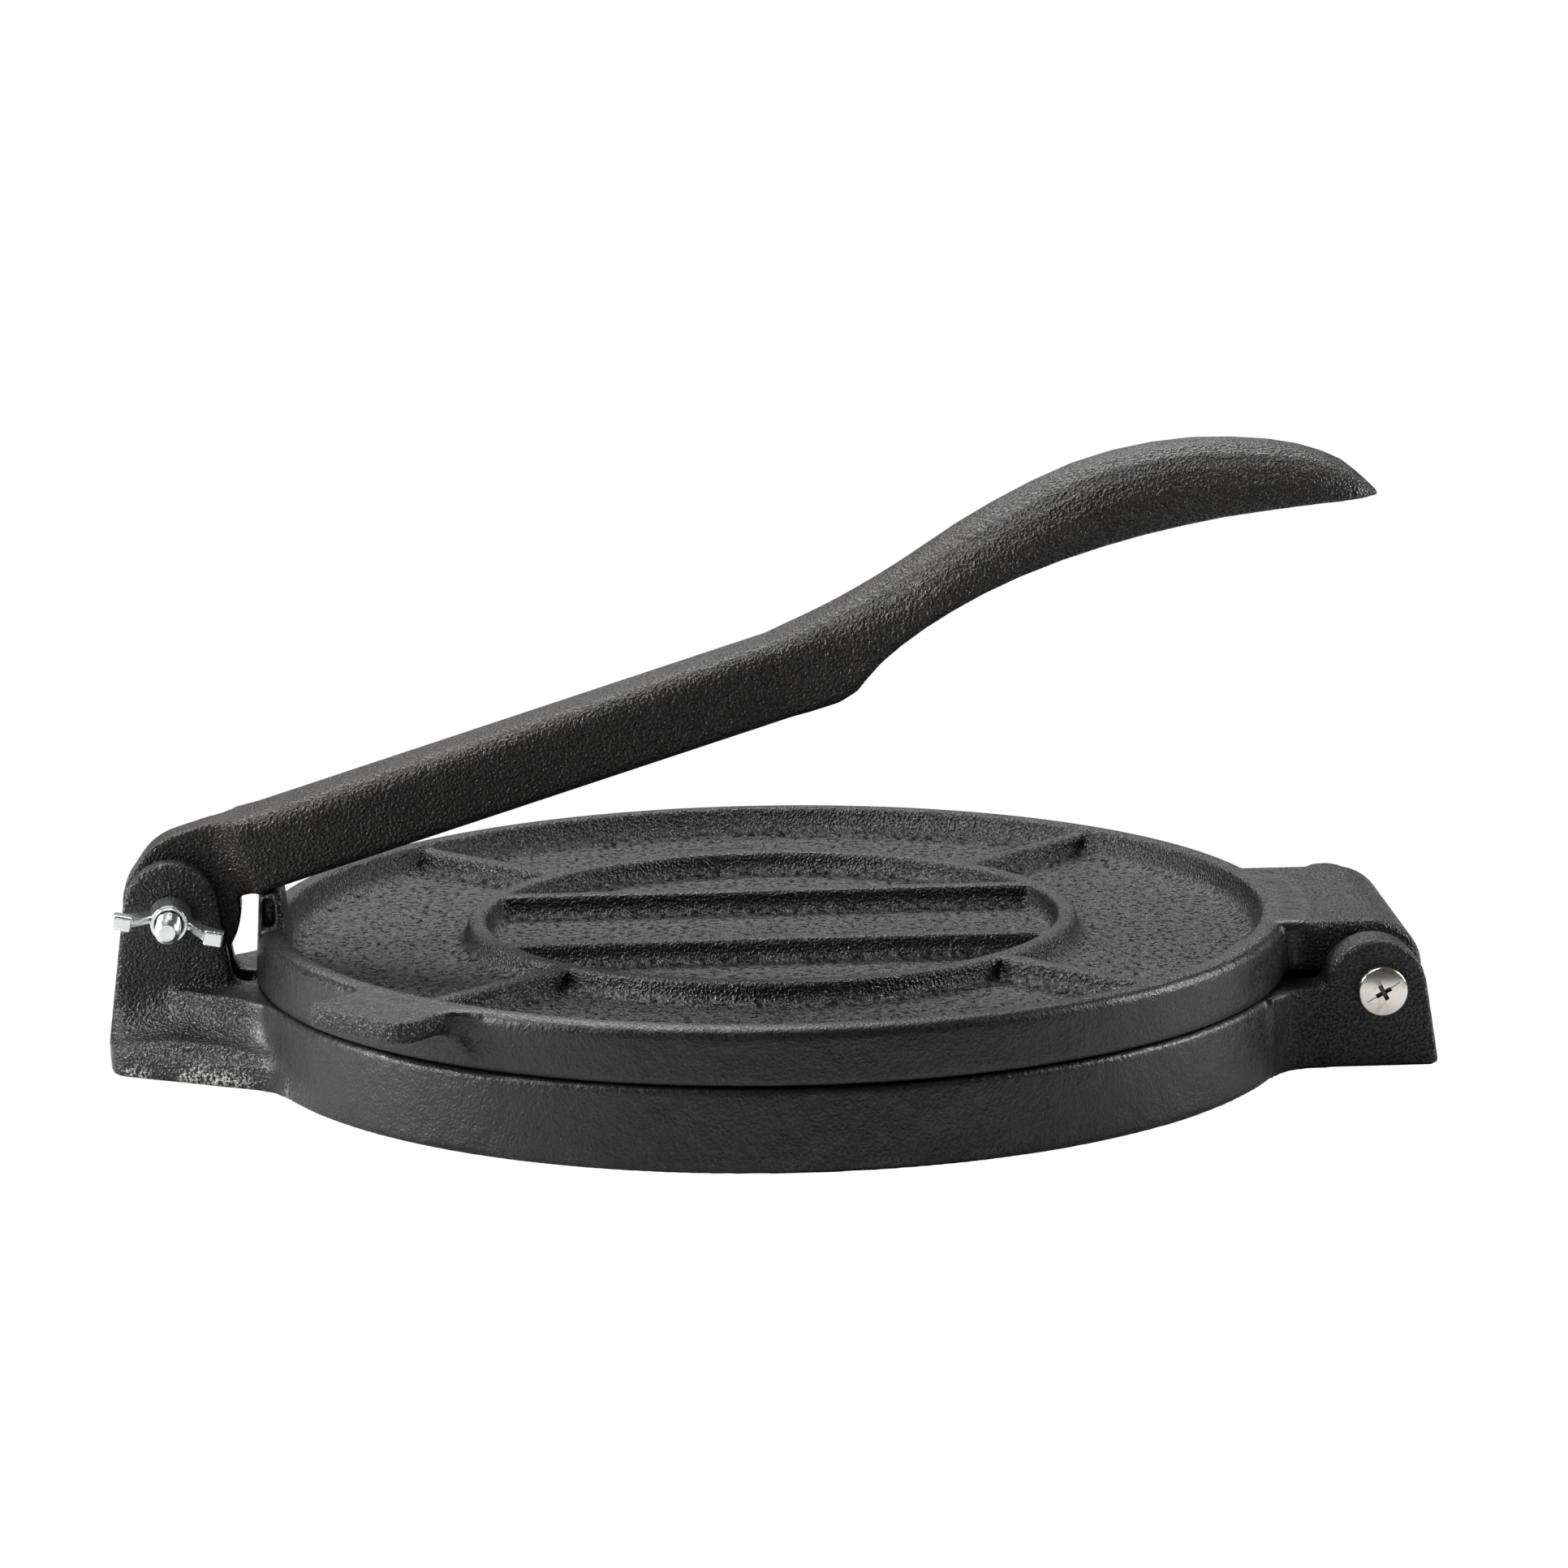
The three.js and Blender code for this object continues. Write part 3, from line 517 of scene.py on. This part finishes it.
def paleGround(ground):
    form = bmesh.new()
    bmesh.ops.create_grid(form, x_segments=1, y_segments=1, size=ground["size"])
    obj = shaped(form, "floor")
    obj.location.z = -ground["below"]
    material, tree = newMaterial("pale floor")
    output = addNode(tree, "ShaderNodeOutputMaterial")
    matt = addNode(tree, "ShaderNodeBsdfDiffuse", Color=(*[ground["pale"]] * 3, 1.0))
    plain = addNode(tree, "ShaderNodeEmission", Strength=1.0)
    whiteToCamera(tree, output, plain, matt)
    obj.data.materials.append(material)


def whiteWorld(strength):
    world = bpy.data.worlds.new("studio")
    world.use_nodes = True
    scene.world = world
    tree = world.node_tree
    tree.nodes.clear()
    output = addNode(tree, "ShaderNodeOutputWorld")
    white = (1.0, 1.0, 1.0, 1.0)
    soft = addNode(tree, "ShaderNodeBackground", Color=white, Strength=strength)
    plain = addNode(tree, "ShaderNodeBackground", Color=white, Strength=1.0)
    whiteToCamera(tree, output, plain, soft)


# A soft light of the studio, aimed at a height over the middle of the press
def softbox(lamp):
    light = bpy.data.lights.new(lamp["name"], "AREA")
    light.shape = "RECTANGLE"
    light.size, light.size_y = lamp["size"]
    light.energy = lamp["power"]
    obj = bpy.data.objects.new(lamp["name"], light)
    obj.location = lamp["place"]
    aim = Vector((0.0, 0.0, lamp["aim"])) - Vector(lamp["place"])
    obj.rotation_mode = "QUATERNION"
    obj.rotation_quaternion = aim.to_track_quat("-Z", "Y")
    scene.collection.objects.link(obj)


paleGround({"size": 4.0, "below": 0.2 * mm, "pale": 0.62})
whiteWorld(0.06)
for lamp in (
    {"name": "back_box", "size": (1.2, 0.5), "power": 9.5, "place": (0.0, 1.0, 0.9), "aim": 0.0},
    {"name": "top_box", "size": (0.7, 0.5), "power": 8.0, "place": (-0.25, 0.15, 1.0), "aim": 0.0},
    {"name": "left_box", "size": (0.35, 0.5), "power": 9.0, "place": (-0.75, -0.08, 0.35), "aim": 0.03},
    {"name": "right_box", "size": (0.3, 0.4), "power": 4.6, "place": (0.75, 0.06, 0.33), "aim": 0.03},
):
    softbox(lamp)
print("stage lit")


# The photo's own view, fitted to the outlines of the two plates
def viewer(view):
    az, el, ro = (math.radians(view[key]) for key in ("azimuth", "elevation", "roll"))
    back = Vector((math.sin(az) * math.cos(el), -math.cos(az) * math.cos(el), math.sin(el)))
    level = Vector((math.cos(az), math.sin(az), 0.0))
    upright = back.cross(level)
    right = math.cos(ro) * level + math.sin(ro) * upright
    top = math.cos(ro) * upright - math.sin(ro) * level
    camera = bpy.data.cameras.new("camera")
    camera.lens = view["lens"]
    camera.sensor_width = 36.0
    camera.clip_start = 0.01
    camera.clip_end = 20.0
    obj = bpy.data.objects.new("camera", camera)
    turn = Matrix((right, top, back)).transposed()
    obj.matrix_world = Matrix.Translation(view["place"]) @ turn.to_4x4()
    scene.collection.objects.link(obj)
    scene.camera = obj


viewer({
    "place": (-0.058205, -1.127576, 0.279565), "lens": 134.73,
    "azimuth": -3.189, "elevation": 11.429, "roll": -0.766,
})
scene.view_settings.view_transform = "Standard"
print("camera placed")
